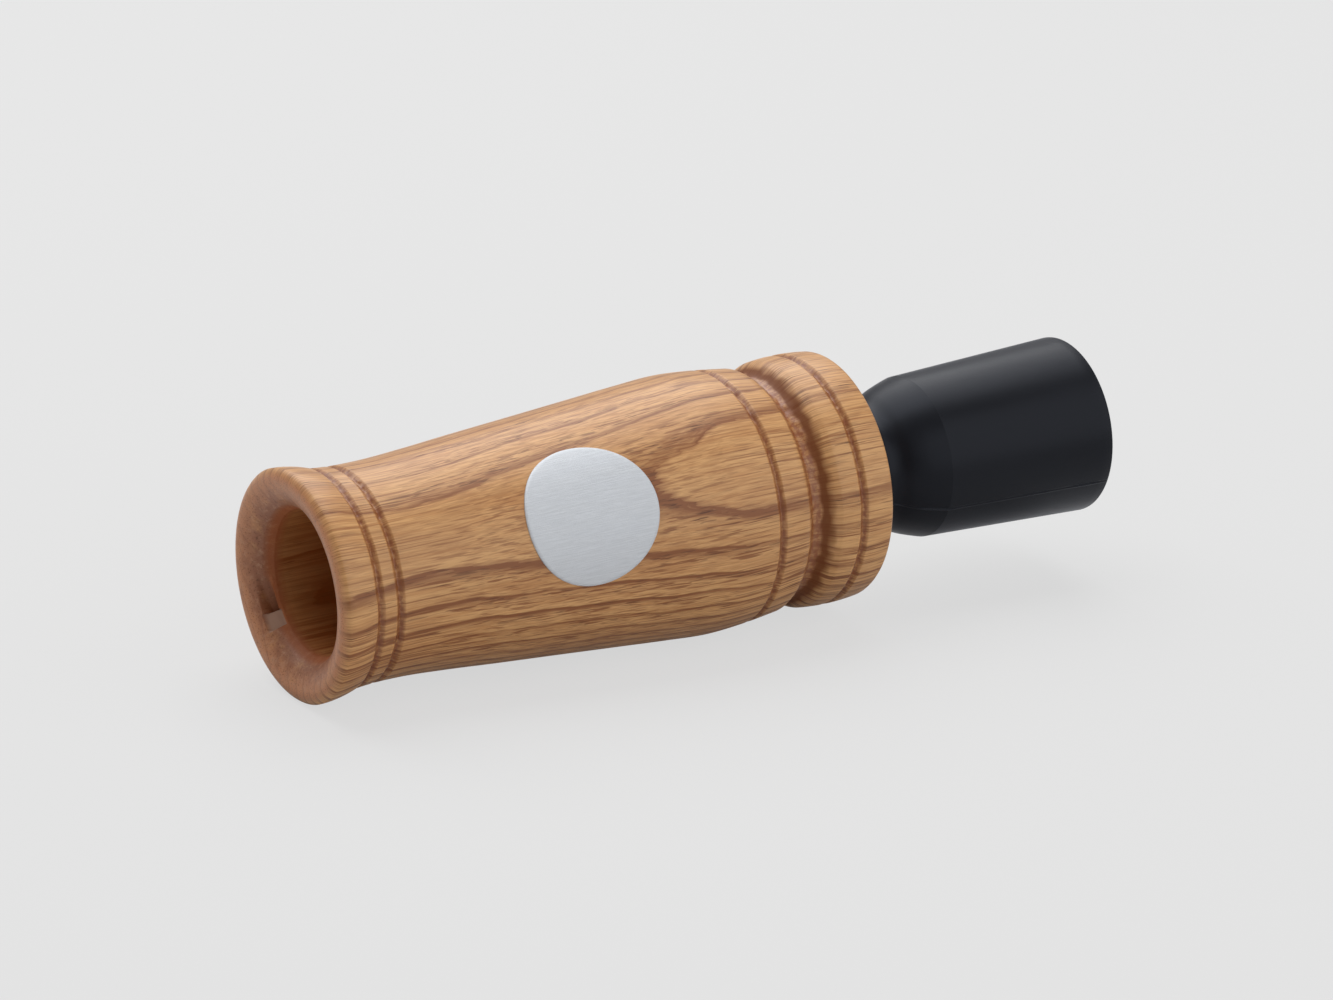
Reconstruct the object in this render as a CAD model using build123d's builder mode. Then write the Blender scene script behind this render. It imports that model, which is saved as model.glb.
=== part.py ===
# Mouth-blown bird call: a turned wooden barrel and a moulded stopper that carries the tone board and reed.
# The call lies along +X, from the mouth lip at x = 0 to the rim of the bell. Z is up. Millimetres.
import os
from math import cos, radians, sin, tan

from build123d import *

os.makedirs("parts", exist_ok=True)

# Barrel, outside: stations of the turned profile as (x, radius), from the lip's widest point to the cove
LIP_CREST_R = 14.7
LIP_ROUND = 2.1
LIP_R = LIP_CREST_R + LIP_ROUND
BODY_PROFILE = [
    (LIP_ROUND, LIP_R),
    (4.0, 16.4),
    (6.2, 15.8),
    (9.5, 15.5),
    (13.8, 15.45),
    (21.2, 15.85),
    (29.2, 16.5),
    (39.2, 17.25),
    (49.2, 18.02),
    (57.2, 18.63),
    (63.6, 19.0),
    (69.0, 18.68),
    (75.0, 17.95),
]
COVE_W = 4.7
COVE_END_X = BODY_PROFILE[-1][0] + COVE_W
COVE_DEPTH = 1.9
COLLAR_W = 9.2
COLLAR_R = 18.45
COLLAR_EDGE_DROP = 0.25
END_ROUND = 1.5
BARREL_L = COVE_END_X + COLLAR_W
GROOVE_XS = [6.1, 9.4, 69.8, COVE_END_X + 3.9]
GROOVE_W = 1.35
GROOVE_DEPTH = 0.55

# Barrel, inside: the dished mouth, the mouth chamber and the seat that takes the tenon
DISH_X, DISH_R = 1.5, 11.7
CHAMBER_X, CHAMBER_R = 3.5, 10.5
CHAMBER_END_X = 50.0
SEAT_X = 53.0
SEAT_CHAMFER = 0.5

# Stopper, outside: the tenon's depth in the barrel, then stations measured from the neck's end
TENON_R = 8.68
TENON_L = 28.9
NECK_SHOWN = 6.1
TENON_X = BARREL_L - TENON_L
NECK_END_X = BARREL_L + NECK_SHOWN
SHOULDER_STEPS = [(1.4, 9.0), (3.2, 10.05), (5.2, 10.95), (7.2, 11.62)]
SHOULDER_L, BELL_START_R = 9.4, 12.02
BELL_L, BELL_END_R = 26.2, 13.08
BELL_START_X = NECK_END_X + SHOULDER_L
BELL_END_X = BELL_START_X + BELL_L
BELL_EDGE = 0.25

# Stopper, inside: the socket for the tone board, the throat and the flared bell
SOCKET_R = 6.0
SOCKET_L = 30.0
SOCKET_END_X = TENON_X + SOCKET_L
THROAT_R = 5.0
THROAT_L = 7.0
THROAT_END_X = SOCKET_END_X + THROAT_L
BELL_MOUTH_R = 10.7

# Rings that seal the tenon
RING_INSET = 5.0
RING_XS = [TENON_X + RING_INSET, BARREL_L - RING_INSET]
RING_GROOVE_FLOOR_R = 7.3
RING_GROOVE_W = 1.7

# Tone board, reed and wedge: the reed bends at the clamp line
BOARD_L = 62.0
BOARD_TIP_X = SOCKET_END_X - BOARD_L
BOARD_TIP_W = 8.6
BOARD_TIP_L = 6.0
AIR_SLOT_W = 4.4
AIR_SLOT_TIP_X = BOARD_TIP_X + 5.0
AIR_SLOT_DEPTH = 4.2
REED_T = 0.36
REED_W = 9.6
REED_TIP_X = BOARD_TIP_X + 1.5
REED_END_X = SOCKET_END_X - 2.0
CLAMP_X = TENON_X + 6.0
BOARD_FALL_DEG = 2.0
BOARD_FALL_X = CLAMP_X + 1.0
WEDGE_L = 20.0

# Round foil label, wrapped on the barrel
LABEL_X = 40.1
LABEL_ANGLE = 152.0
LABEL_L = 20.6
LABEL_ACROSS = 19.5
LABEL_T = 0.15

# Fits
RUNNING_FIT = 0.05
RING_FIT = 0.02
GLUE_GAP = 0.01
PUSH_FIT = 0.02
HINGE_GAP = 0.03

SEAT_R = TENON_R + RUNNING_FIT
WEDGE_X = CLAMP_X + REED_T / 2 + HINGE_GAP


def radius_at(x):
    """Radius of the barrel's outside at x, between the stations of its profile and on the collar."""
    if x >= COVE_END_X:
        return COLLAR_R
    for (x0, r0), (x1, r1) in zip(BODY_PROFILE, BODY_PROFILE[1:]):
        if x0 <= x <= x1:
            return r0 + (r1 - r0) * (x - x0) / (x1 - x0)
    return LIP_R


def grown(profile, by):
    """The same stations with every radius larger by one amount."""
    return [(x, r + by) for x, r in profile]


# Barrel: turned and bored from one piece of wood, with V grooves and a cove for a lanyard
cove_start = BODY_PROFILE[-1]
cove_end = (COVE_END_X, COLLAR_R - COLLAR_EDGE_DROP)
cove_mid = ((cove_start[0] + COVE_END_X) / 2, (cove_start[1] + cove_end[1]) / 2 - COVE_DEPTH)
collar_end = (BARREL_L - END_ROUND, COLLAR_R - COLLAR_EDGE_DROP)
with BuildPart() as barrel:
    with BuildSketch(Plane.XY):
        with BuildLine():
            RadiusArc((0, LIP_CREST_R), (LIP_ROUND, LIP_R), LIP_ROUND)
            Spline(*BODY_PROFILE, tangents=[(1, 0), (1, -0.13)])
            ThreePointArc(cove_start, cove_mid, cove_end)
            ThreePointArc(cove_end, ((COVE_END_X + collar_end[0]) / 2, COLLAR_R), collar_end)
            RadiusArc(collar_end, (BARREL_L, collar_end[1] - END_ROUND), END_ROUND)
            Polyline(
                (BARREL_L, collar_end[1] - END_ROUND),
                (BARREL_L, SEAT_R + SEAT_CHAMFER),
                (BARREL_L - SEAT_CHAMFER, SEAT_R),
                (SEAT_X, SEAT_R),
                (CHAMBER_END_X, CHAMBER_R),
                (CHAMBER_X, CHAMBER_R),
                (DISH_X, DISH_R),
                (0, LIP_CREST_R),
            )
        make_face()
    revolve(axis=Axis.X)
    with BuildSketch(Plane.XY):
        for groove_x in GROOVE_XS:
            groove_r = radius_at(groove_x)
            with BuildLine():
                Polyline(
                    (groove_x - GROOVE_W, groove_r + GROOVE_DEPTH),
                    (groove_x, groove_r - GROOVE_DEPTH),
                    (groove_x + GROOVE_W, groove_r + GROOVE_DEPTH),
                    close=True,
                )
            make_face()
    revolve(axis=Axis.X, mode=Mode.SUBTRACT)
barrel.part.label = "barrel"
export_step(barrel.part, "parts/barrel.step")

# Foil label: a thin disc that follows the barrel's curve
label_out = (0, cos(radians(LABEL_ANGLE)), sin(radians(LABEL_ANGLE)))
label_plane = Plane(origin=(LABEL_X, 0, 0), x_dir=(1, 0, 0), z_dir=label_out)
with BuildPart() as foil_label:
    with BuildSketch(Plane.XY):
        with BuildLine():
            inner = Spline(*grown(BODY_PROFILE, GLUE_GAP), tangents=[(1, 0), (1, -0.13)])
            outer = Spline(*grown(BODY_PROFILE, GLUE_GAP + LABEL_T), tangents=[(1, 0), (1, -0.13)])
            Line(inner @ 0, outer @ 0)
            Line(inner @ 1, outer @ 1)
        make_face()
    revolve(axis=Axis.X)
    with BuildSketch(label_plane):
        Ellipse(LABEL_L / 2, LABEL_ACROSS / 2)
    extrude(amount=2 * COLLAR_R, mode=Mode.INTERSECT)
foil_label.part.label = "foil_label"
export_step(foil_label.part, "parts/foil_label.step")

# Stopper: moulded in one piece, from the tenon with its two ring grooves to the flared bell
with BuildPart() as stopper:
    with BuildSketch(Plane.XY):
        with BuildLine():
            Line((TENON_X, TENON_R), (NECK_END_X, TENON_R))
            bell_slope = (BELL_END_R - BELL_START_R) / BELL_L
            Spline(
                (NECK_END_X, TENON_R),
                *[(NECK_END_X + x, r) for x, r in SHOULDER_STEPS],
                (BELL_START_X, BELL_START_R),
                tangents=[(1, 0), (1, bell_slope)],
            )
            Polyline(
                (BELL_START_X, BELL_START_R),
                (BELL_END_X - BELL_EDGE, BELL_END_R),
                (BELL_END_X, BELL_END_R - BELL_EDGE),
                (BELL_END_X, BELL_MOUTH_R),
                (THROAT_END_X, THROAT_R),
                (SOCKET_END_X, THROAT_R),
                (SOCKET_END_X, SOCKET_R),
                (TENON_X, SOCKET_R),
                (TENON_X, TENON_R),
            )
        make_face()
    revolve(axis=Axis.X)
    with BuildSketch(Plane.XY):
        for ring_x in RING_XS:
            with Locations((ring_x, (RING_GROOVE_FLOOR_R + BELL_END_R) / 2)):
                Rectangle(RING_GROOVE_W, BELL_END_R - RING_GROOVE_FLOOR_R)
    revolve(axis=Axis.X, mode=Mode.SUBTRACT)
stopper.part.label = "stopper"
export_step(stopper.part, "parts/stopper.step")


def seal_ring(ring_x):
    """One rubber ring at its squeezed size, between the groove's floor and the barrel's seat."""
    mid_r = (RING_GROOVE_FLOOR_R + SEAT_R) / 2
    section_r = (SEAT_R - RING_GROOVE_FLOOR_R) / 2 - RING_FIT
    with BuildPart() as ring:
        with BuildSketch(Plane.XY):
            with Locations((ring_x, mid_r)):
                Circle(section_r)
        revolve(axis=Axis.X)
    return ring.part


# Sealing rings: front is nearer the mouth
o_ring_front = seal_ring(RING_XS[0])
o_ring_front.label = "o_ring_front"
export_step(o_ring_front, "parts/o_ring_front.step")
o_ring_rear = seal_ring(RING_XS[1])
o_ring_rear.label = "o_ring_rear"
export_step(o_ring_rear, "parts/o_ring_rear.step")

# Tone board: a half-round bar pushed into the tenon, falling away under the reed's free end, with an air slot
board_r = SOCKET_R - PUSH_FIT
board_tip_fall = (BOARD_FALL_X - BOARD_TIP_X) * tan(radians(BOARD_FALL_DEG))
with BuildPart() as tone_board:
    with BuildSketch(Plane.YZ.offset(BOARD_TIP_X)):
        Circle(board_r)
    extrude(amount=BOARD_L)
    with BuildSketch(Plane.XZ):
        with BuildLine():
            Polyline(
                (BOARD_TIP_X, -board_tip_fall),
                (BOARD_FALL_X, 0),
                (SOCKET_END_X, 0),
                (SOCKET_END_X, 2 * board_r),
                (BOARD_TIP_X, 2 * board_r),
                close=True,
            )
        make_face()
    extrude(amount=2 * board_r, both=True, mode=Mode.SUBTRACT)
    with BuildSketch(Plane.XY):
        with BuildLine():
            Polyline(
                (BOARD_TIP_X, BOARD_TIP_W / 2),
                (BOARD_TIP_X + BOARD_TIP_L, board_r),
                (BOARD_TIP_X, board_r),
                close=True,
            )
        make_face()
        mirror(about=Plane.XZ)
    extrude(amount=2 * board_r, both=True, mode=Mode.SUBTRACT)
    with BuildSketch(Plane.XY.offset(-AIR_SLOT_DEPTH)):
        with BuildLine():
            slot_end_x = AIR_SLOT_TIP_X + AIR_SLOT_W / 2
            Line((SOCKET_END_X, -AIR_SLOT_W / 2), (slot_end_x, -AIR_SLOT_W / 2))
            ThreePointArc((slot_end_x, -AIR_SLOT_W / 2), (AIR_SLOT_TIP_X, 0), (slot_end_x, AIR_SLOT_W / 2))
            Polyline(
                (slot_end_x, AIR_SLOT_W / 2),
                (SOCKET_END_X, AIR_SLOT_W / 2),
                (SOCKET_END_X, -AIR_SLOT_W / 2),
            )
        make_face()
    extrude(amount=2 * AIR_SLOT_DEPTH, mode=Mode.SUBTRACT)
tone_board.part.label = "tone_board"
export_step(tone_board.part, "parts/tone_board.step")

# Reed: one plastic strip, as a clamped root and a free tongue with a round edge on the clamp line
with BuildPart() as reed_root:
    with BuildSketch(Plane.XY):
        with Locations(((WEDGE_X + REED_END_X) / 2, 0)):
            Rectangle(REED_END_X - WEDGE_X, REED_W)
    extrude(amount=REED_T)
reed_root.part.label = "reed_root"
export_step(reed_root.part, "parts/reed_root.step")

with BuildPart() as reed_tongue:
    with BuildSketch(Plane.XY):
        with Locations(((REED_TIP_X + CLAMP_X) / 2, 0)):
            Rectangle(CLAMP_X - REED_TIP_X, REED_W)
        fillet(vertices().group_by(Axis.X)[0], REED_W / 5)
    extrude(amount=REED_T)
    with BuildSketch(Plane.XZ):
        with Locations((CLAMP_X, REED_T / 2)):
            Circle(REED_T / 2)
    extrude(amount=REED_W / 2, both=True)
reed_tongue.part.label = "reed_tongue"
export_step(reed_tongue.part, "parts/reed_tongue.step")

# Wedge: a half-round block that jams the reed's root on the tone board inside the tenon
with BuildPart() as wedge:
    with BuildSketch(Plane.YZ.offset(WEDGE_X)):
        Circle(SOCKET_R - PUSH_FIT)
        with Locations((0, REED_T - SOCKET_R)):
            Rectangle(2 * SOCKET_R, 2 * SOCKET_R, mode=Mode.SUBTRACT)
    extrude(amount=WEDGE_L)
wedge.part.label = "wedge"
export_step(wedge.part, "parts/wedge.step")
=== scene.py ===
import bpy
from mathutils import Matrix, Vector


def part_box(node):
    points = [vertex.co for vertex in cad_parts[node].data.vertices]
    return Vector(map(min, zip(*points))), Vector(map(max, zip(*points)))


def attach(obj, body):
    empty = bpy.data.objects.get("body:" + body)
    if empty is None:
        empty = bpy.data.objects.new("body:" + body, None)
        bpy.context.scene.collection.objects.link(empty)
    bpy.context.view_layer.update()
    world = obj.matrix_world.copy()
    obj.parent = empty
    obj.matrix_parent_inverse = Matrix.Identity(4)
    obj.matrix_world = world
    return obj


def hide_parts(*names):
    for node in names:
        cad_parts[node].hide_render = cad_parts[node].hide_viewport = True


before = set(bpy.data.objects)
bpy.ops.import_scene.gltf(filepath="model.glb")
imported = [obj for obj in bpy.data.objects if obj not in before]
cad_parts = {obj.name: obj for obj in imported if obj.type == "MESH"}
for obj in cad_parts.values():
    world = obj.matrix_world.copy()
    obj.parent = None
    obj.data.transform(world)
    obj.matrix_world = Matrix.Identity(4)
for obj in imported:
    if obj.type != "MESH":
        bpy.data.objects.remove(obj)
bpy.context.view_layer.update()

import math

import bpy
import numpy as np
from mathutils import Vector, noise

# Barrel: one piece of ring-porous hardwood, turned between centres and bored from both ends.
# Four V grooves and a lanyard cove are cut into it with a narrow tool, which tears the grain there.
# It is oiled to a satin finish, and the torn grain in the cuts is darker brown. A painted shade darkens
# the cove's deep part near its right wall and the notch at the mouth.
MM = 0.001
BODY_STATIONS = [
    (0.9, 16.8),
    (4.0, 16.4),
    (6.2, 15.8),
    (9.5, 15.5),
    (13.8, 15.45),
    (21.2, 15.85),
    (29.2, 16.5),
    (39.2, 17.25),
    (49.2, 18.02),
    (57.2, 18.63),
    (63.6, 19.0),
    (69.0, 18.68),
    (75.0, 17.95),
]
BARREL_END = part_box("barrel")[1].x / MM
LIP_CREST, LIP_FACE = (0.0, 14.8), (0.18, 16.1)
COVE = [
    (75.0, 17.95),
    (75.2, 17.25),
    (75.8, 16.5),
    (76.7, 16.2),
    (77.7, 16.5),
    (78.6, 17.2),
    (79.3, 17.8),
    (80.1, 18.2),
]
COLLAR_R, END_ROUND = 18.45, 0.9
GROOVES_X = [6.1, 9.4, 69.8, 83.6]
GROOVE_HALF_W, GROOVE_DEPTH, GROOVE_FLAT = 0.66, 0.58, 0.12
GROOVE_WANDER, GROOVE_RAGGED, GROOVE_STAIN = 0.07, 0.28, 1.7
TORN_AT, TORN_SPREAD = math.radians(132), math.radians(30)
TEAR_COARSE, TEAR_FINE, TEAR_LEAST = 0.16, 0.08, 0.35
FLOOR_TO, FLOOR_SOFT = 0.66, 0.2
# Where the painted shade lies across the cove, as shares of its width.
SHADE_FROM, SHADE_EDGE, SHADE_TO, SHADE_FADE, SHADE_RAGGED = 0.46, 0.07, 0.84, 0.16, 0.10
MOUTH_LINE = [(3.5, 10.5), (2.8, 10.9), (2.0, 11.4), (1.2, 12.2), (0.55, 13.2), (0.12, 14.2)]
SEAT_LINE = [(88.9, 9.23), (88.4, 8.73), (53.0, 8.73), (50.0, 10.5)]
BLANK_LINE = [(0, 15.5), (14, 15.5), *BODY_STATIONS[5:-2], (72, 18.75), (89, 18.45)]
BODY_STEP, CUT_STEP, CUT_REACH, BORE_STEP = 0.8, 0.1, 1.0, 1.5
ROUND_ABOUT = np.radians(np.arange(0, 360, 1.0))


def through(stations, x, level_start=True):
    """Radii at x on the smooth turned line through the stations."""
    xs, rs = np.array(stations).T
    slope = np.gradient(rs, xs)
    slope[0] *= not level_start
    i = np.clip(np.searchsorted(xs, x) - 1, 0, len(xs) - 2)
    width = xs[i + 1] - xs[i]
    t = (x - xs[i]) / width
    start = (2 * t**3 - 3 * t**2 + 1) * rs[i] + (t**3 - 2 * t**2 + t) * width * slope[i]
    return start + (3 * t**2 - 2 * t**3) * rs[i + 1] + (t**3 - t**2) * width * slope[i + 1]


def arc_through(first, middle, last, step):
    """Points along the arc from first to last through middle, about one step apart."""
    (ax, ay), (bx, by), (cx, cy) = first, middle, last
    d = 2 * (ax * (by - cy) + bx * (cy - ay) + cx * (ay - by))
    ux = ((ax**2 + ay**2) * (by - cy) + (bx**2 + by**2) * (cy - ay) + (cx**2 + cy**2) * (ay - by)) / d
    uy = ((ax**2 + ay**2) * (cx - bx) + (bx**2 + by**2) * (ax - cx) + (cx**2 + cy**2) * (bx - ax)) / d
    radius = math.hypot(ax - ux, ay - uy)
    a0, a1, a2 = (math.atan2(y - uy, x - ux) for x, y in (first, middle, last))
    turn = (a2 - a0) % (2 * math.pi)
    if (a1 - a0) % (2 * math.pi) > turn:
        turn -= 2 * math.pi
    angles = a0 + np.linspace(0, turn, max(3, int(abs(turn) * radius / step)))
    return np.stack([ux + radius * np.cos(angles), uy + radius * np.sin(angles)], 1)


def straight(corners, step):
    """Points along straight lines between the corners, about one step apart."""
    points = []
    for (x0, r0), (x1, r1) in zip(corners, corners[1:]):
        count = max(2, int(math.hypot(x1 - x0, r1 - r0) / step))
        points += [(x0 + (x1 - x0) * k / count, r0 + (r1 - r0) * k / count) for k in range(count)]
    return np.array(points + [corners[-1]])


def cut_stations(start, end, cuts, step):
    """Places from start to end, close together in each cut and further apart between them."""
    places = list(np.arange(start, end, step))
    for cut in cuts:
        if start < cut < end:
            places = [x for x in places if abs(x - cut) > CUT_REACH + CUT_STEP]
            places += list(np.arange(cut - CUT_REACH, cut + CUT_REACH + CUT_STEP / 10, CUT_STEP))
    return np.array(sorted(places))


def turned(name, x, r, angles, creases=()):
    """A closed mesh whose rows are stations along a closed outline and whose columns go round the X axis.

    The rows in creases keep a crisp edge.
    """
    rows, columns = x.shape
    points = np.stack([x, r * np.cos(angles), r * np.sin(angles)], -1).reshape(-1, 3) * MM
    i, j = np.meshgrid(np.arange(rows), np.arange(columns), indexing="ij")
    below, beside = (i + 1) % rows, (j + 1) % columns
    corners = [i * columns + j, i * columns + beside, below * columns + beside, below * columns + j]
    mesh = bpy.data.meshes.new(name)
    mesh.from_pydata(points.tolist(), [], np.stack(corners, -1).reshape(-1, 4).tolist())
    mesh.shade_smooth()
    mesh.set_sharp_from_angle(angle=math.radians(40))
    if creases:
        for edge in mesh.edges:
            row, other_row = (vertex // columns for vertex in edge.vertices)
            if row == other_row and row in creases:
                edge.use_edge_sharp = True
    piece = bpy.data.objects.new(name, mesh)
    bpy.context.scene.collection.objects.link(piece)
    return piece


def rough(x, r, angles, size, seed):
    """Noise from -1 to 1 at points on a turned surface, with features of that size in mm."""
    points = np.stack([x, r * np.cos(angles), r * np.sin(angles)], -1).reshape(-1, 3) / size + seed
    return np.array([noise.noise(p) for p in points]).reshape(x.shape)


def paint(piece, name, values):
    """Keeps a value for each point of a piece, for its finish to read."""
    layer = piece.data.attributes.new(name, "FLOAT", "POINT")
    layer.data.foreach_set("value", np.ascontiguousarray(values, np.float32).ravel())


body_x = cut_stations(BODY_STATIONS[0][0], BODY_STATIONS[-1][0], GROOVES_X, BODY_STEP)
cove_x = np.arange(COVE[0][0] + CUT_STEP, COVE[-1][0], CUT_STEP * 2)
cove_line = np.stack([cove_x, through(COVE, cove_x, level_start=False)], 1)
COVE_END_X, COLLAR_EDGE_R = COVE[-1]
collar_x = cut_stations(COVE_END_X, BARREL_END - END_ROUND, GROOVES_X, BODY_STEP / 2)
collar_share = (collar_x - COVE_END_X) / (BARREL_END - END_ROUND - COVE_END_X)
collar_swell = (COLLAR_R - COLLAR_EDGE_R) * 4 * collar_share * (1 - collar_share)
collar_line = np.stack([collar_x, COLLAR_EDGE_R + collar_swell], 1)
lip_line = arc_through(LIP_CREST, LIP_FACE, BODY_STATIONS[0], CUT_STEP * 2)
end_side = END_ROUND * math.sqrt(0.5)
end_line = arc_through(
    (BARREL_END - END_ROUND, COLLAR_EDGE_R),
    (BARREL_END - END_ROUND + end_side, COLLAR_EDGE_R - END_ROUND + end_side),
    (BARREL_END, COLLAR_EDGE_R - END_ROUND),
    CUT_STEP * 2,
)
stretches = {
    "mouth": straight(MOUTH_LINE, CUT_STEP * 2),
    "lip": lip_line,
    "body": np.stack([body_x, through(BODY_STATIONS, body_x)], 1)[1:],
    "cove": cove_line,
    "collar": collar_line,
    "end": end_line,
    "seat": straight([end_line[-1], *SEAT_LINE], BORE_STEP)[1:],
    "chamber": straight([SEAT_LINE[-1], MOUTH_LINE[0]], BORE_STEP)[1:-1],
}
outline = np.concatenate(list(stretches.values()))
where = np.concatenate([[name] * len(line) for name, line in stretches.items()])
barrel_x, around = np.meshgrid(outline[:, 0], ROUND_ABOUT, indexing="ij")
barrel_r = np.repeat(outline[:, 1:], len(ROUND_ABOUT), 1)

cuts, pooled = np.zeros_like(barrel_r), np.zeros_like(barrel_r)
outside = np.isin(where, ["body", "collar"])
outside_x, outside_a = barrel_x[outside], around[outside]
for groove_x in GROOVES_X:
    outside_r = barrel_r[outside]
    at_groove = np.full_like(outside_x, groove_x)
    wander = GROOVE_WANDER * rough(at_groove, outside_r, outside_a, 2.5, groove_x)
    away = np.abs(outside_x - groove_x - wander) / GROOVE_HALF_W
    cut = np.clip(1 + GROOVE_FLAT - away, 0, 1)
    bite = 1 + GROOVE_RAGGED * rough(outside_x, outside_r, outside_a, 0.7, 31 + groove_x)
    barrel_r[outside] -= GROOVE_DEPTH * cut * bite
    cuts[outside] = np.maximum(cuts[outside], np.clip(cut * GROOVE_STAIN, 0, 1))
cove = where == "cove"
cove_share = (barrel_x[cove] - COVE[0][0]) / (COVE_END_X - COVE[0][0])
on_floor = np.clip((FLOOR_TO - cove_share) / FLOOR_SOFT, 0, 1)
tear_turn = np.abs((around[cove] - TORN_AT + math.pi) % (2 * math.pi) - math.pi)
tears = TEAR_LEAST + (1 - TEAR_LEAST) * np.clip(1.4 - tear_turn / TORN_SPREAD, 0, 1)
barrel_r[cove] += on_floor * tears * (
    TEAR_COARSE * rough(barrel_x[cove], barrel_r[cove], around[cove], 1.2, 7.0)
    + TEAR_FINE * rough(barrel_x[cove], barrel_r[cove], around[cove], 0.5, 11.0)
)
cuts[cove] = on_floor
# Painted shade: a dark band across the cove's deeper, right-hand part, where its far wall is in shadow.
shade_spread = cove_share + SHADE_RAGGED * rough(barrel_x[cove], barrel_r[cove], around[cove], 1.5, 19.0)
pooled[cove] = np.clip((shade_spread - SHADE_FROM) / SHADE_EDGE, 0, 1) * np.clip((SHADE_TO - shade_spread) / SHADE_FADE, 0, 1)

# A splinter broke out of the mouth's inner edge before the oiling.
# It left a notch, which is painted dark as shade, and which ends in a flat pale face.
NOTCH_FROM, NOTCH_TO, FACE_TO = math.radians(-10), math.radians(-37), math.radians(-50)
NOTCH_DEPTH, NOTCH_OUT, NOTCH_REACH, NOTCH_SOFT = 1.4, 0.7, 1.15, 0.45
FACE_DEPTH, FACE_OUT, FACE_REACH, FACE_SOFT = 0.55, 0.165, 1.5, 0.35
BREAK_X, BREAK_R = 2.0, 11.55
near_mouth = np.isin(where, ["mouth", "chamber"])
turn = (around[near_mouth] + math.pi) % (2 * math.pi) - math.pi
in_notch = np.clip((NOTCH_FROM - turn) / (NOTCH_FROM - NOTCH_TO), 0, 1) * (turn > NOTCH_TO)
in_face = ((turn <= NOTCH_TO) & (turn > FACE_TO)).astype(float)
off_break = np.hypot(barrel_x[near_mouth] - BREAK_X, barrel_r[near_mouth] - BREAK_R)
notch = in_notch * np.clip((NOTCH_REACH - off_break) / NOTCH_SOFT, 0, 1)
face = in_face * np.clip((FACE_REACH - off_break) / FACE_SOFT, 0, 1)
chip = np.zeros_like(barrel_r)
chip[near_mouth] = face
barrel_x[near_mouth] += NOTCH_DEPTH * notch + FACE_DEPTH * face
barrel_r[near_mouth] += NOTCH_OUT * notch + FACE_OUT * face
# The notch gets the same painted shade as the cove.
pooled[near_mouth] = np.maximum(pooled[near_mouth], notch)

barrel = turned("turned_barrel", barrel_x, barrel_r, around)

# What the finish needs to know of each point: how far the fibres' ends show, how deep it lies in the bore,
# where the bore's own colour is deepened by a painted shade, and by how much the uncut blank was wider
# there, so that the growth bands run on across the cuts.
END_GRAIN_FROM, END_GRAIN_OVER = 0.78, 0.14
LIP_GRAIN_R, LIP_GRAIN_OVER = 16.65, 0.9
BORE_FIRST, BORE_OVER, BORE_MOST = 0.36, 22, 0.97
MOUTH_BORE_R, MOUTH_BORE_OVER, MOUTH_BORE_MOST = 11.5, 0.9, 0.6
in_mouth, on_lip = where == "mouth", where == "lip"
SEAT_MOUTH_X, CHAMBER_X = SEAT_LINE[1][0], MOUTH_LINE[0][0]
normals = np.zeros(len(barrel.data.vertices) * 3, np.float32)
barrel.data.vertices.foreach_get("normal", normals)
along_call = np.abs(normals[::3].reshape(barrel_x.shape))
facing_end = np.clip((along_call - END_GRAIN_FROM) / END_GRAIN_OVER, 0, 1)
facing_end[np.isin(where, ["body", "cove", "collar"])] = 0
facing_end[in_mouth] = 1
facing_end[on_lip] = np.clip((LIP_GRAIN_R - barrel_r[on_lip]) / LIP_GRAIN_OVER, 0, 1)
facing_end[(where == "seat")[:, None] & (barrel_x > SEAT_MOUTH_X)] = 1
# Part own colour of the bored wood, part painted shade: the bore is painted darker the deeper it goes.
bore = np.clip(BORE_FIRST + (barrel_x - CHAMBER_X) / BORE_OVER, 0, BORE_MOST)
bore[~np.isin(where, ["chamber", "seat"])] = 0
bore[barrel_x > SEAT_MOUTH_X + 0.01] = 0
bore[in_mouth] = np.clip((MOUTH_BORE_R - barrel_r[in_mouth]) / MOUTH_BORE_OVER, 0, MOUTH_BORE_MOST)
blank_r = np.interp(barrel_x, *np.array(BLANK_LINE).T)
turned_side = np.isin(where, ["lip", "body", "cove", "collar", "end"])[:, None]
follow = np.where(turned_side, blank_r / barrel_r, 1.0)
masks = {
    "cuts": cuts,
    "pooled": pooled,
    "chip": chip,
    "end_grain": facing_end,
    "bore": bore,
    "follow": follow,
}
for mask, values in masks.items():
    paint(barrel, mask, values)


class Wire:
    """One output in a finish's node tree. Arithmetic on it adds Math nodes."""

    def __init__(self, finish, socket):
        self.finish = finish
        self.socket = socket

    def math(self, operation, *values):
        return self.finish.node("ShaderNodeMath", {"operation": operation}, dict(enumerate(values)))

    def __add__(self, other):
        return self.math("ADD", self, other)

    def __sub__(self, other):
        return self.math("SUBTRACT", self, other)

    def __rsub__(self, other):
        return self.math("SUBTRACT", other, self)

    def __mul__(self, other):
        return self.math("MULTIPLY", self, other)

    def __truediv__(self, other):
        return self.math("DIVIDE", self, other)

    __radd__ = __add__
    __rmul__ = __mul__


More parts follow.
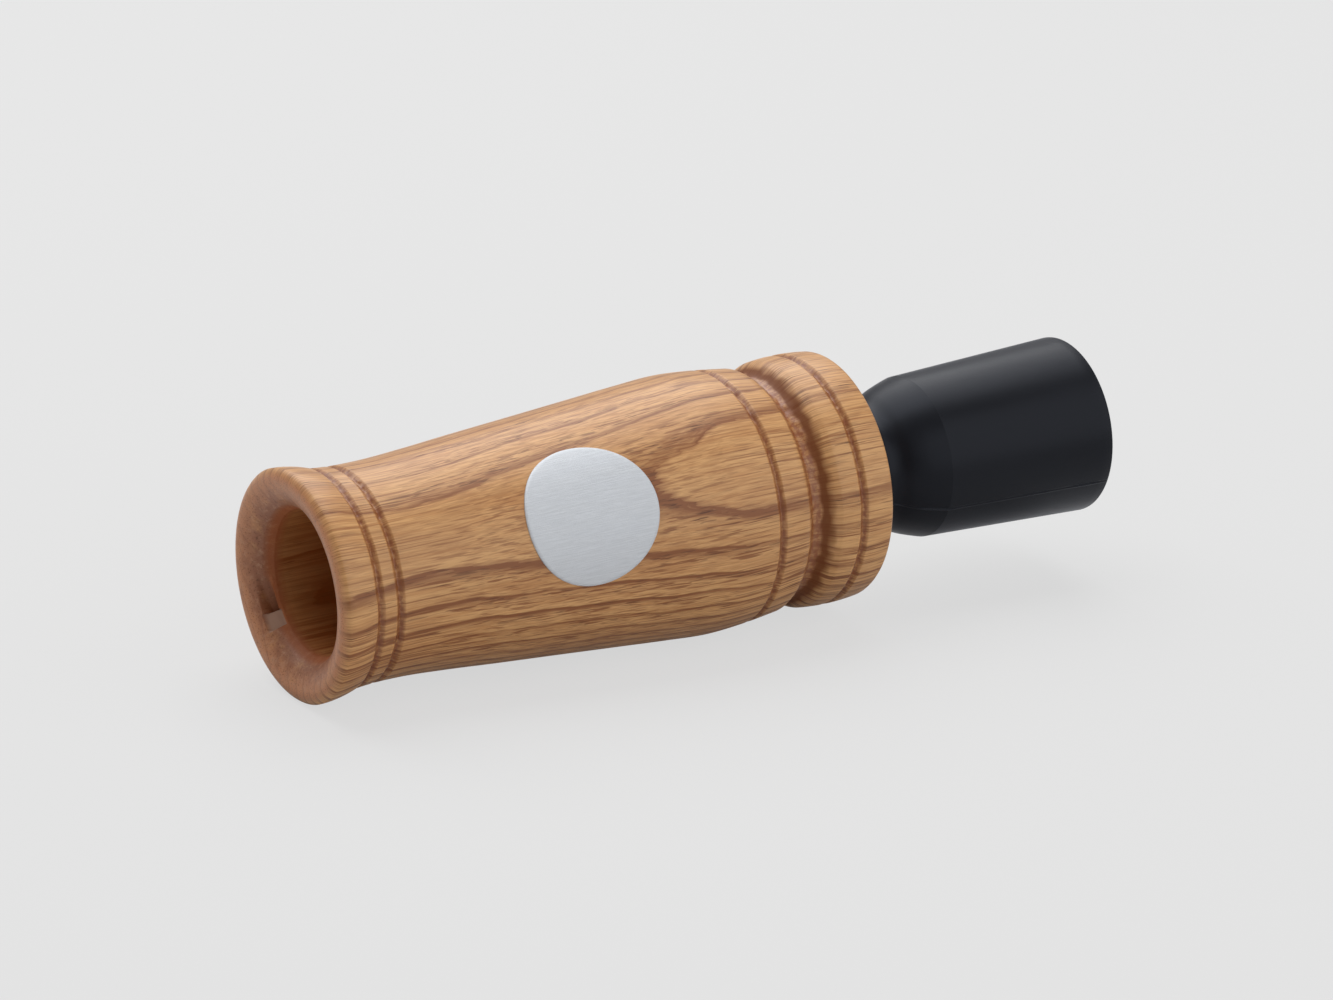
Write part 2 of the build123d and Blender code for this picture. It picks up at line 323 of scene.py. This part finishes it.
class Finish:
    """The nodes of one material, or of the air round the stage."""

    def __init__(self, owner):
        self.owner = owner
        self.owner.use_nodes = True
        self.tree = self.owner.node_tree
        self.tree.nodes.clear()

    def node(self, kind, settings=None, sockets=None, output=0):
        """Adds a node, sets its settings and then its sockets, and gives one of its outputs."""
        made = self.tree.nodes.new(kind)
        for name, value in (settings or {}).items():
            if name == "stops":
                stops = made.color_ramp.elements
                while len(stops) < len(value):
                    stops.new(0.5)
                for stop, (place, level) in zip(stops, value):
                    stop.position = place
                    stop.color = (level, level, level, 1)
            else:
                setattr(made, name, value)
        for name, value in (sockets or {}).items():
            if isinstance(value, Wire):
                self.tree.links.new(value.socket, made.inputs[name])
            else:
                made.inputs[name].default_value = value
        return Wire(self, made.outputs[output]) if made.outputs else None

    def noise(self, at, detail=2.0, roughness=0.5):
        """Noise from 0 to 1 at a point whose scale is already set."""
        sockets = {"Vector": at, "Scale": 1.0, "Detail": detail, "Roughness": roughness}
        return self.node("ShaderNodeTexNoise", None, sockets)

    def fade(self, value, low, high):
        """0 below low and 1 above high, with a smooth step between."""
        settings = {"interpolation_type": "SMOOTHSTEP"}
        sockets = {"Value": value, "From Min": low, "From Max": high}
        return self.node("ShaderNodeMapRange", settings, sockets)

    def mix(self, share, first, second, way="MIX"):
        """A colour between two, or the first treated by the second."""
        settings = {"data_type": "RGBA", "blend_type": way}
        return self.node("ShaderNodeMix", settings, {0: share, 6: first, 7: second}, 2)

    def place(self):
        """The point's place on the piece, in mm, as three values."""
        at = self.node("ShaderNodeTexCoord", output=3)
        scaled = self.node("ShaderNodeVectorMath", {"operation": "SCALE"}, {0: at, "Scale": 1 / MM})
        return [self.node("ShaderNodeSeparateXYZ", None, {0: scaled}, k) for k in range(3)]

    def at(self, x, y, z):
        return self.node("ShaderNodeCombineXYZ", None, {0: x, 1: y, 2: z})

    def kept(self, name):
        """A value that was kept for each point of the piece."""
        return self.node("ShaderNodeAttribute", {"attribute_name": name}, output=2)

    def bump(self, height, distance, strength=1.0):
        sockets = {"Height": height, "Distance": distance, "Strength": strength}
        return self.node("ShaderNodeBump", None, sockets)

    def finish(self, sockets):
        """Ends the material in one Principled shader."""
        surface = self.node("ShaderNodeBsdfPrincipled", None, sockets)
        self.node("ShaderNodeOutputMaterial", None, {"Surface": surface})
        return self.owner


RING_SPACING, RING_START, PITH_AWAY = 2.1, 17.78, 90.0
RING_FACES = math.radians(144.5)
RING_LEAN, LEAN_FROM, RING_BEND, BEND_FROM = 0.027, 40, 0.06, 58.0
WARM_TO, WARM_GONE, COLLAR_FROM, COLLAR_FULL = 40.0, 76.0, 77.0, 82.0
# The first two bound a painted glare: grain marks are painted fainter towards the top.
GLARE_FULL_SIDE, GLARE_GONE_SIDE, DISH_RIM_R, DISH_FLOOR_R = -12.0, 13.0, 15.2, 11.4
GRAIN_DEPTH = 0.025 * MM
PALE_WOOD = (0.635, 0.345, 0.134, 1)
WARM_WOOD = (0.47, 0.210, 0.066, 1)
BROWN_BAND = (0.225, 0.070, 0.014, 1)
PORE_BROWN = (0.10, 0.030, 0.007, 1)
END_GRAIN = (0.50, 0.212, 0.096, 1)
# Dark end-grain brown, for the growth bands and for the painted shade in the mouth's dish.
END_GRAIN_BAND_AND_SHADE = (0.23, 0.084, 0.042, 1)
END_FLECK = (0.46, 0.235, 0.130, 1)
BROKEN_FACE = (0.34, 0.195, 0.13, 1)
CUT_BROWN = (0.22, 0.058, 0.014, 1)
# Dark brown of the painted shade in the cove and in the mouth's notch.
PAINTED_SHADE_BROWN = (0.15, 0.036, 0.002, 1)
# The bore's own bored colour, darkened as painted shade deeper in.
BORE_BROWN_AND_SHADE = (0.33, 0.072, 0.002, 1)
RING_STOPS = [
    (0.0, 0.6),
    (0.05, 0.0),
    (0.50, 0.03),
    (0.68, 0.15),
    (0.80, 0.38),
    (0.90, 0.85),
    (0.95, 1.0),
    (1.0, 1.0),
]


def oiled_wood():
    wood = Finish(bpy.data.materials.new("oiled_hardwood"))
    x, y, z = wood.place()
    follow = wood.kept("follow")
    depth = (y * math.cos(RING_FACES) + z * math.sin(RING_FACES)) * follow
    side = (z * math.cos(RING_FACES) - y * math.sin(RING_FACES)) * follow

    def grain(along, across, detail=2.0, roughness=0.5, seed=0.0):
        return wood.noise(wood.at(x * along + seed, depth * across, side * across), detail, roughness)

    end, cut, dark = wood.kept("end_grain"), wood.kept("cuts"), wood.kept("pooled")
    lean = (x - LEAN_FROM) * RING_LEAN - x.math("MAXIMUM", x - BEND_FROM, 0.0) * RING_BEND
    wobble = (grain(0.03, 0.07, 1.0) - 0.5) * 0.8 + (grain(0.10, 0.35, 2.0, seed=9) - 0.5) * 0.45
    wobble = wobble + (grain(0.4, 1.6, 2.0, seed=5) - 0.5) * 0.10
    wobble = wobble + (grain(0.08, 2.6, 2.0, seed=33) - 0.5) * 0.24
    wobble = wobble + (grain(0.085, 0.12, 1.0, seed=61) - 0.5) * side * side * 0.006
    ring = (depth + wobble + side * side / (2 * PITH_AWAY) - lean - RING_START) / RING_SPACING
    growth = ring.math("FRACT", ring)
    year = ring.math("FLOOR", ring)
    vigour = wood.node("ShaderNodeTexWhiteNoise", {"noise_dimensions": "1D"}, {"W": year + 0.5})
    band = wood.node("ShaderNodeValToRGB", {"stops": RING_STOPS}, {0: growth})
    near_band = wood.fade(growth, 0.20, 0.80)
    strands = wood.noise(wood.at(x * 0.035, ring * 5.5, side * 0.12), 3.0, 0.65)
    fibre = grain(0.035, 1.5, 4.0, 0.7, seed=21)
    hair = grain(0.045, 3.3, 1.0, 0.5, seed=27)
    short = grain(0.20, 4.2, 2.0, 0.6, seed=71)
    gleam = grain(0.045, 2.6, 2.0, 0.6, seed=51)
    # Painted highlight: bands and hair lines are painted fainter on the top, where the lamp's glare falls,
    # and full on the underside.
    low = wood.fade(side, GLARE_FULL_SIDE, GLARE_GONE_SIDE)
    band = band * (0.58 + vigour * 0.35 + low * 0.40) * (0.45 + wood.fade(strands, 0.38, 0.56) * 0.6)
    band = band * (1 - end * 0.6) * (1 - wood.fade(x, COLLAR_FROM, COLLAR_FULL) * 0.45)
    dash = wood.fade(grain(0.13, 3.0, 1.0, 0.5, seed=13), 0.63, 0.70)
    fine_dash = wood.fade(grain(0.22, 4.4, 1.0, 0.4, seed=17), 0.62, 0.68)
    warmth = wood.fade(grain(0.025, 0.16, 2.0, seed=40), 0.35, 0.7)
    warmth = warmth * (1 - wood.fade(x, WARM_TO, WARM_GONE) * 0.85)

    colour = wood.mix(warmth * 0.55, PALE_WOOD, WARM_WOOD)
    colour = wood.mix(wood.fade(fibre, 0.42, 0.64) * 0.6, colour, WARM_WOOD)
    colour = wood.mix(wood.fade(gleam, 0.52, 0.62) * 0.75, colour, PALE_WOOD)
    colour = wood.mix(wood.fade(strands, 0.50, 0.66) * (0.18 + near_band * 0.26), colour, BROWN_BAND)
    # Hair lines also fade under the painted glare on the top.
    hair_share = 0.34 + low * 0.28 + near_band * 0.35
    colour = wood.mix(wood.fade(hair, 0.54, 0.64) * hair_share, colour, BROWN_BAND)
    colour = wood.mix(wood.fade(short, 0.40, 0.62) * 0.26, colour, BROWN_BAND)
    colour = wood.mix(band, colour, BROWN_BAND)
    pores = (dash * (0.10 + near_band * 0.4) + fine_dash * (0.14 + near_band * 0.4)) * (1 - end * 0.7)
    colour = wood.mix(pores, colour, PORE_BROWN)
    mottle = wood.noise(wood.at(x * 0.4, y * 0.4, z * 0.4), 4.0, 0.6)
    across = y.math("SQRT", y * y + z * z)
    # Painted shade: the end grain of the mouth's dish is painted darker towards the bore.
    dish_shade = wood.fade(across + (mottle - 0.5) * 4.0, DISH_RIM_R, DISH_FLOOR_R)
    end_colour = wood.mix(dish_shade * 0.8, END_GRAIN, END_GRAIN_BAND_AND_SHADE)
    end_pores = wood.noise(wood.at(x * 0.5, y * 4.0, z * 4.0), 2.0, 0.6)
    end_colour = wood.mix(wood.fade(end_pores, 0.56, 0.66) * 0.55, end_colour, PORE_BROWN)
    fleck = wood.noise(wood.at(x * 0.9, y * 0.9, z * 0.9), 4.0, 0.7)
    end_colour = wood.mix(wood.fade(fleck, 0.50, 0.68) * 0.6, end_colour, END_FLECK)
    end_colour = wood.mix(band, end_colour, END_GRAIN_BAND_AND_SHADE)
    colour = wood.mix(end * (1.0 - wood.fade(mottle, 0.5, 0.8) * 0.5), colour, end_colour)
    speck = wood.noise(wood.at(x * 1.3, y * 1.3, z * 1.3), 3.0, 0.6)
    colour = wood.mix(cut * (0.44 + wood.fade(speck, 0.62, 0.40) * 0.45), colour, CUT_BROWN)
    # Painted shade: the cove's deep part and the notch are darkened towards this brown.
    colour = wood.mix(dark * 0.92, colour, PAINTED_SHADE_BROWN)
    tool_marks = wood.noise(wood.at(x * 4.0, 0.0, 0.0), 2.0, 0.6)
    # The bore's own colour with painted shade, darker the deeper it lies.
    in_bore_and_shade = wood.kept("bore")
    colour = wood.mix(in_bore_and_shade * (0.85 + tool_marks * 0.3), colour, BORE_BROWN_AND_SHADE)
    colour = wood.mix(wood.kept("chip"), colour, BROKEN_FACE)
    roughness = 0.42 + fibre * 0.10 + pores * 0.2 - cut * 0.12 + dark * 0.2 + in_bore_and_shade * 0.25
    height = fibre * 0.3 + hair * 0.2 - pores * 0.7 - band * 0.2 + cut * (speck - 0.5) * 2.0
    return wood.finish(
        {
            "Base Color": colour,
            "Roughness": roughness,
            "Normal": wood.bump(height, GRAIN_DEPTH, 0.5),
            "Specular IOR Level": 0.36,
            "Coat Weight": (0.36 - dark * 0.32) * (1 - in_bore_and_shade) * (1 - end * 0.7),
            "Coat Roughness": 0.33,
        }
    )


barrel.data.materials.append(oiled_wood())
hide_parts("barrel")
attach(barrel, "barrel")

# Foil label: a round sticker of brushed metal foil, die-cut and pressed on to the oiled wood.
# It follows the barrel's curve, and its clear coat ends in a fine rounded rim. It is left bare.
LABEL_X, LABEL_ANGLE = 40.2, math.radians(152)
LABEL_HALF_L, LABEL_HALF_W, LABEL_T, GLUE_GAP = 10.15, 10.4, 0.24, 0.01
LABEL_RINGS, LABEL_SIDES, RIM_FROM, RIM_LEVEL = 24, 160, 0.985, 0.55
FOIL_GREY, FOIL_BRIGHT, FOIL_COOL = (0.51, 0.53, 0.555, 1), (0.66, 0.68, 0.71, 1), (0.58, 0.61, 0.67, 1)
BRUSH_DEPTH = 0.02 * MM


def on_barrel(along, across, lift):
    """Points on the barrel's skin, from distances along it and round it."""
    x = LABEL_X + along
    r = through(BODY_STATIONS, x) + lift
    turn = LABEL_ANGLE + across / r
    return np.stack([x, r * np.cos(turn), r * np.sin(turn)], -1) * MM


def pressed_foil():
    turns = np.linspace(0, 2 * math.pi, LABEL_SIDES, endpoint=False)
    shares = np.append(np.linspace(0, RIM_FROM, LABEL_RINGS)[1:] ** 0.8, 1.0)
    rows = [(share, GLUE_GAP + LABEL_T * (RIM_LEVEL if share == 1 else 1)) for share in shares]
    rows += [(1.0, GLUE_GAP)] + [(share, GLUE_GAP) for share in shares[-2::-1]]
    points = [
        on_barrel(LABEL_HALF_L * share * np.cos(turns), -LABEL_HALF_W * share * np.sin(turns), lift)
        for share, lift in rows
    ]
    centres = [on_barrel(np.zeros(1), np.zeros(1), lift) for lift in (GLUE_GAP + LABEL_T, GLUE_GAP)]
    points = np.concatenate(points + centres).tolist()
    top, under = len(points) - 2, len(points) - 1
    faces = []
    for j in range(LABEL_SIDES):
        k = (j + 1) % LABEL_SIDES
        faces.append((top, k, j))
        for i in range(len(rows) - 1):
            a, b = i * LABEL_SIDES, (i + 1) * LABEL_SIDES
            faces.append((a + j, a + k, b + k, b + j))
        faces.append((b + j, b + k, under))
    mesh = bpy.data.meshes.new("foil_label_disc")
    mesh.from_pydata(points, [], faces)
    mesh.shade_smooth()
    mesh.set_sharp_from_angle(angle=math.radians(50))
    piece = bpy.data.objects.new("foil_label_disc", mesh)
    bpy.context.scene.collection.objects.link(piece)
    return piece


def brushed_foil():
    foil = Finish(bpy.data.materials.new("brushed_foil"))
    x, y, z = foil.place()
    across = z * math.cos(LABEL_ANGLE) - y * math.sin(LABEL_ANGLE)
    brush = foil.fade(foil.noise(foil.at(x * 0.22, across * 7.0, 0.0), 4.0, 0.75), 0.32, 0.68)
    cloud = foil.noise(foil.at(x * 0.08, across * 0.5, 4.0), 2.0)
    colour = foil.mix(brush, FOIL_GREY, FOIL_BRIGHT)
    colour = foil.mix(cloud * 0.35, colour, FOIL_COOL)
    return foil.finish(
        {
            "Base Color": colour,
            "Metallic": 0.36,
            "Roughness": 0.48 + brush * 0.16,
            "Normal": foil.bump(brush, BRUSH_DEPTH, 0.7),
        }
    )


label = pressed_foil()
label.data.materials.append(brushed_foil())
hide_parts("foil_label")
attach(label, "barrel")

# Stopper: a black plastic moulding, from the tenon with its two ring grooves to the flared bell.
# The two halves of the mould meet in a fine seam along each side.
# The skin is satin, with faint flow marks.
TENON_X, TENON_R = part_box("stopper")[0].x / MM, 8.68
BELL_END_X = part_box("stopper")[1].x / MM
RING_PLACES = [sum(c.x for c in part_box(ring)) / 2 / MM for ring in ("o_ring_front", "o_ring_rear")]
RING_GROOVE_R, RING_GROOVE_W = 7.3, 1.7
NECK_X = 95.0
SHOULDER = [(95.0, 8.68), (96.2, 9.02), (97.8, 10.05), (99.5, 10.85), (101.2, 11.44), (103.0, 11.97)]
BELL_R, RIM_ROUND, BELL_MOUTH_R = 13.08, 0.3, 10.7
THROAT = [(97.0, 5.0), (90.0, 5.0), (90.0, 6.0)]
SOCKET_R = 6.0
SEAMS = [math.radians(204), math.radians(24)]
SEAM_HALF, SEAM_HEIGHT, SEAM_GROOVE = 0.16, 0.12, 0.8
SHOULDER_STEP, RIM_STEP, TURN_STEP = 0.3, 0.08, 1.5
PLASTIC_DARK, PLASTIC_LIGHT = (0.0015, 0.0015, 0.002, 1), (0.004, 0.004, 0.0055, 1)
SKIN_DEPTH = 0.012 * MM

tenon_corners = [(TENON_X, SOCKET_R), (TENON_X, TENON_R)]
for ring_x in RING_PLACES:
    tenon_corners += [
        (ring_x - RING_GROOVE_W / 2, TENON_R),
        (ring_x - RING_GROOVE_W / 2, RING_GROOVE_R),
        (ring_x + RING_GROOVE_W / 2, RING_GROOVE_R),
        (ring_x + RING_GROOVE_W / 2, TENON_R),
    ]
tenon_line = straight(tenon_corners + [(NECK_X, TENON_R)], BORE_STEP)
shoulder_x = np.arange(NECK_X + SHOULDER_STEP, SHOULDER[-1][0], SHOULDER_STEP)
shoulder_line = np.stack([shoulder_x, through(SHOULDER, shoulder_x)], 1)
rim_line = arc_through(
    (BELL_END_X - RIM_ROUND, BELL_R),
    (BELL_END_X - RIM_ROUND * 0.3, BELL_R - RIM_ROUND * 0.3),
    (BELL_END_X, BELL_R - RIM_ROUND),
    RIM_STEP,
)
bell_line = straight([SHOULDER[-1], rim_line[0]], BORE_STEP)[:-1]
bore_corners = [rim_line[-1], (BELL_END_X, BELL_MOUTH_R), *THROAT, (TENON_X, SOCKET_R)]
bore_line = straight(bore_corners, BORE_STEP)[1:-1]
stopper_line = np.concatenate([tenon_line, shoulder_line, bell_line, rim_line, bore_line])
bell_edge = len(tenon_line) + len(shoulder_line)
skin = np.zeros(len(stopper_line))
skin[len(tenon_line) : bell_edge + len(bell_line)] = 1
seam_turns = np.array([-3, -2.5, -2, -1.5, -1, -0.5, 0, 0.5, 1, 2]) * SEAM_HALF / BELL_R
even_turns = np.radians(np.arange(0.6, 360, TURN_STEP))
stopper_turns = np.sort(np.concatenate([even_turns] + [seam + seam_turns for seam in SEAMS]))
stopper_x, stopper_a = np.meshgrid(stopper_line[:, 0], stopper_turns, indexing="ij")
stopper_r = np.repeat(stopper_line[:, 1:], len(stopper_turns), 1)
for seam in SEAMS:
    off_seam = (stopper_a - seam) * BELL_R / SEAM_HALF
    ridge = np.clip(1 - np.abs(off_seam), 0, 1) - SEAM_GROOVE * np.clip(1 - np.abs(off_seam + 1.5), 0, 1)
    broken = np.clip(0.6 + 0.9 * rough(stopper_x, stopper_r, stopper_a, 3.0, 2.0), 0.15, 1)
    stopper_r += skin[:, None] * SEAM_HEIGHT * ridge * broken
stopper = turned("moulded_stopper", stopper_x, stopper_r, stopper_a, creases=[bell_edge])


def satin_plastic():
    plastic = Finish(bpy.data.materials.new("black_satin_plastic"))
    x, y, z = plastic.place()
    flow = plastic.noise(plastic.at(x * 0.05, y * 0.2, z * 0.2), 3.0, 0.55)
    skin_grain = plastic.noise(plastic.at(x * 3.0, y * 3.0, z * 3.0), 2.0)
    rubbed = plastic.fade(plastic.noise(plastic.at(x * 0.35, y * 0.9, z * 0.9), 4.0, 0.7), 0.55, 0.75)
    colour = plastic.mix(flow, PLASTIC_DARK, PLASTIC_LIGHT)
    return plastic.finish(
        {
            "Base Color": colour,
            "Roughness": 0.30 + flow * 0.12 + rubbed * 0.06,
            "Normal": plastic.bump(skin_grain + flow * 2.0, SKIN_DEPTH, 0.6),
            "Specular IOR Level": 0.22,
            "Specular Tint": (0.78, 0.84, 1.0, 1),
            "Sheen Weight": 0.06,
            "Sheen Roughness": 0.45,
            "Sheen Tint": (0.55, 0.66, 1.0, 1),
        }
    )


stopper.data.materials.append(satin_plastic())
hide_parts("stopper")
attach(stopper, "insert")

# Sealing rings: two moulded rubber rings, stretched over the tenon into its grooves.
# The rubber is matt, with a faint bloom.
RUBBER_BLACK, RUBBER_BLOOM = (0.012, 0.012, 0.012, 1), (0.035, 0.034, 0.033, 1)
BLOOM_DEPTH = 0.02 * MM


def matt_rubber():
    rubber = Finish(bpy.data.materials.new("matt_rubber"))
    x, y, z = rubber.place()
    bloom = rubber.noise(rubber.at(x * 0.8, y * 0.8, z * 0.8), 4.0, 0.6)
    colour = rubber.mix(bloom, RUBBER_BLACK, RUBBER_BLOOM)
    skin_bump = rubber.bump(bloom, BLOOM_DEPTH)
    return rubber.finish({"Base Color": colour, "Roughness": 0.55 + bloom * 0.25, "Normal": skin_bump})


ring_rubber = matt_rubber()
for ring in ("o_ring_front", "o_ring_rear"):
    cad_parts[ring].data.materials.clear()
    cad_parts[ring].data.materials.append(ring_rubber)

# Tone board: a half-round moulded bar, pushed into the stopper's socket with the reed on its flat face.
# It is the same black plastic as the stopper, filed smooth along the air slot.
FILED_DARK, FILED_LIGHT = (0.014, 0.014, 0.016, 1), (0.030, 0.030, 0.033, 1)
FILE_DEPTH = 0.02 * MM


def filed_plastic():
    plastic = Finish(bpy.data.materials.new("filed_black_plastic"))
    x, y, z = plastic.place()
    filed = plastic.noise(plastic.at(x * 0.3, y * 8.0, z * 8.0), 3.0, 0.6)
    colour = plastic.mix(filed, FILED_DARK, FILED_LIGHT)
    file_marks = plastic.bump(filed, FILE_DEPTH)
    return plastic.finish({"Base Color": colour, "Roughness": 0.34 + filed * 0.2, "Normal": file_marks})


tone_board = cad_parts["tone_board"]
tone_board.data.materials.clear()
tone_board.data.materials.append(filed_plastic())

# Reed: one strip of tough plastic film, clamped at its root so that its tongue is free to beat.
# The film is clear but frosted, so that the black board under it greys it, with faint scuffs along it.
FILM_GREY, FILM_PALE = (0.43, 0.44, 0.44, 1), (0.55, 0.565, 0.565, 1)
SCUFF_DEPTH = 0.01 * MM


def frosted_film():
    film = Finish(bpy.data.materials.new("frosted_film"))
    x, y, z = film.place()
    scuff = film.noise(film.at(x * 0.4, y * 5.0, z * 5.0), 4.0, 0.65)
    colour = film.mix(scuff, FILM_GREY, FILM_PALE)
    scuff_bump = film.bump(scuff, SCUFF_DEPTH)
    return film.finish({"Base Color": colour, "Roughness": 0.22 + scuff * 0.2, "Normal": scuff_bump})


reed_film = frosted_film()
for strip in ("reed_root", "reed_tongue"):
    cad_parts[strip].data.materials.clear()
    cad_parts[strip].data.materials.append(reed_film)

# Wedge: a half-round plug of firm black rubber, pushed in over the reed's root to clamp it.
# It is sawn from a sheet, so that grains of its filler show as paler and darker flecks.
SAWN_BLACK, SAWN_GREY = (0.055, 0.048, 0.044, 1), (0.15, 0.132, 0.122, 1)
SAW_DEPTH = 0.08 * MM


def sawn_rubber():
    sawn = Finish(bpy.data.materials.new("sawn_rubber"))
    x, y, z = sawn.place()
    grains = sawn.node("ShaderNodeTexVoronoi", None, {"Vector": sawn.at(x, y, z), "Scale": 1.4}, 1)
    fleck = sawn.noise(sawn.at(x * 2.0, y * 2.0, z * 2.0), 3.0, 0.6)
    colour = sawn.mix(fleck, SAWN_BLACK, SAWN_GREY)
    colour = sawn.mix(0.25, colour, grains, "SOFT_LIGHT")
    saw_marks = sawn.bump(fleck, SAW_DEPTH)
    return sawn.finish({"Base Color": colour, "Roughness": 0.75 + fleck * 0.15, "Normal": saw_marks})


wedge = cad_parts["wedge"]
wedge.data.materials.clear()
wedge.data.materials.append(sawn_rubber())

# Studio: the call lies on pale paper, on its lip and its belly, between two large soft boxes.
# One hangs above and a little behind it, and one stands in front, to the right. The paper fades into
# the air far off, so that its edge doesn't show, and the camera has a long lens.
BACKGROUND, AIR_LIGHT, SHINE_SHARE = 0.78, 0.32, 0.15
LIP_BOTTOM = Vector((2.1, 0, -16.83)) * MM
BELLY_BOTTOM = Vector((63.6, 0, -19.03)) * MM
FLOOR_HALF, PAPER_GREY, PAPER_GLOW = 3.0, 0.63, 0.82
MID_CALL, FAR_FROM, FAR_TO = 65.0, 260.0, 900.0
LIT_SPOT = Vector((0.06, 0, 0))


def in_sight(finish):
    """1 for what the camera sees, a share of it in a shine or through something clear.

    It is 0 for the light that falls on the call.
    """
    rays = ("Is Camera Ray", "Is Glossy Ray", "Is Transmission Ray")
    straight_on, shine, clear = [finish.node("ShaderNodeLightPath", output=ray) for ray in rays]
    return straight_on.math("MAXIMUM", straight_on, shine.math("MAXIMUM", shine, clear) * SHINE_SHARE)


def pale_floor():
    rest = (BELLY_BOTTOM - LIP_BOTTOM).normalized()
    side = Vector((0, 1, 0))
    middle = (LIP_BOTTOM + BELLY_BOTTOM) / 2
    signs = ((-1, -1), (1, -1), (1, 1), (-1, 1))
    corners = [middle + (rest * i + side * j) * FLOOR_HALF for i, j in signs]
    mesh = bpy.data.meshes.new("pale_floor")
    mesh.from_pydata([tuple(c) for c in corners], [], [(0, 1, 2, 3)])
    piece = bpy.data.objects.new("pale_floor", mesh)
    bpy.context.scene.collection.objects.link(piece)
    paper = Finish(bpy.data.materials.new("pale_paper"))
    glow_colour = (BACKGROUND, BACKGROUND, BACKGROUND, 1)
    glow = paper.node("ShaderNodeEmission", None, {"Color": glow_colour, "Strength": 1.0})
    matt = paper.node("ShaderNodeBsdfDiffuse", None, {"Color": (PAPER_GREY, PAPER_GREY, PAPER_GREY, 1)})
    x, y, _ = paper.place()
    off = x - MID_CALL
    far = paper.fade(off.math("SQRT", off * off + y * y), FAR_FROM, FAR_TO)
    share = in_sight(paper) * (PAPER_GLOW + far * (1 - PAPER_GLOW))
    surface = paper.node("ShaderNodeMixShader", None, {0: share, 1: matt, 2: glow})
    paper.node("ShaderNodeOutputMaterial", None, {"Surface": surface})
    mesh.materials.append(paper.owner)
    return piece


def soft_box(name, place, size, power):
    lamp = bpy.data.lights.new(name, "AREA")
    lamp.shape = "RECTANGLE"
    lamp.size, lamp.size_y = size
    lamp.energy = power
    box = bpy.data.objects.new(name, lamp)
    box.location = place
    box.rotation_euler = (LIT_SPOT - Vector(place)).to_track_quat("-Z", "Y").to_euler()
    bpy.context.scene.collection.objects.link(box)


def studio_air():
    air = Finish(bpy.data.worlds.new("studio_air"))
    on_piece = air.node("ShaderNodeBackground", None, {"Strength": AIR_LIGHT, "Color": (1, 1, 1, 1)})
    behind = air.node("ShaderNodeBackground", None, {"Strength": BACKGROUND, "Color": (1, 1, 1, 1)})
    surface = air.node("ShaderNodeMixShader", None, {0: in_sight(air), 1: on_piece, 2: behind})
    air.node("ShaderNodeOutputWorld", None, {"Surface": surface})
    bpy.context.scene.world = air.owner


pale_floor()
soft_box("soft_box_above", place=(0.10, 0.36, 0.66), size=(1.0, 1.0), power=8.0)
soft_box("soft_box_in_front", place=(0.50, -0.85, 0.42), size=(1.6, 1.2), power=5.8)
studio_air()

CAMERA_PLACE = Vector((-0.39527, -0.75196, 0.32786))
CAMERA_TURN, CAMERA_FALL = math.radians(31.34), math.radians(20.53)
LENS, AIM_LEFT, AIM_UP = 176.5, 0.001, 0.00278
level = math.cos(CAMERA_FALL)
ahead = Vector((math.sin(CAMERA_TURN) * level, math.cos(CAMERA_TURN) * level, -math.sin(CAMERA_FALL)))
right = ahead.cross(Vector((0, 0, 1))).normalized()
aim = ahead - right * AIM_LEFT + right.cross(ahead) * AIM_UP
camera = bpy.data.objects.new("camera", bpy.data.cameras.new("camera"))
camera.data.lens = LENS
camera.data.clip_start, camera.data.clip_end = 0.05, 20
camera.location = CAMERA_PLACE
camera.rotation_euler = aim.to_track_quat("-Z", "Y").to_euler()
bpy.context.scene.collection.objects.link(camera)
bpy.context.scene.camera = camera
bpy.context.scene.view_settings.view_transform = "Standard"
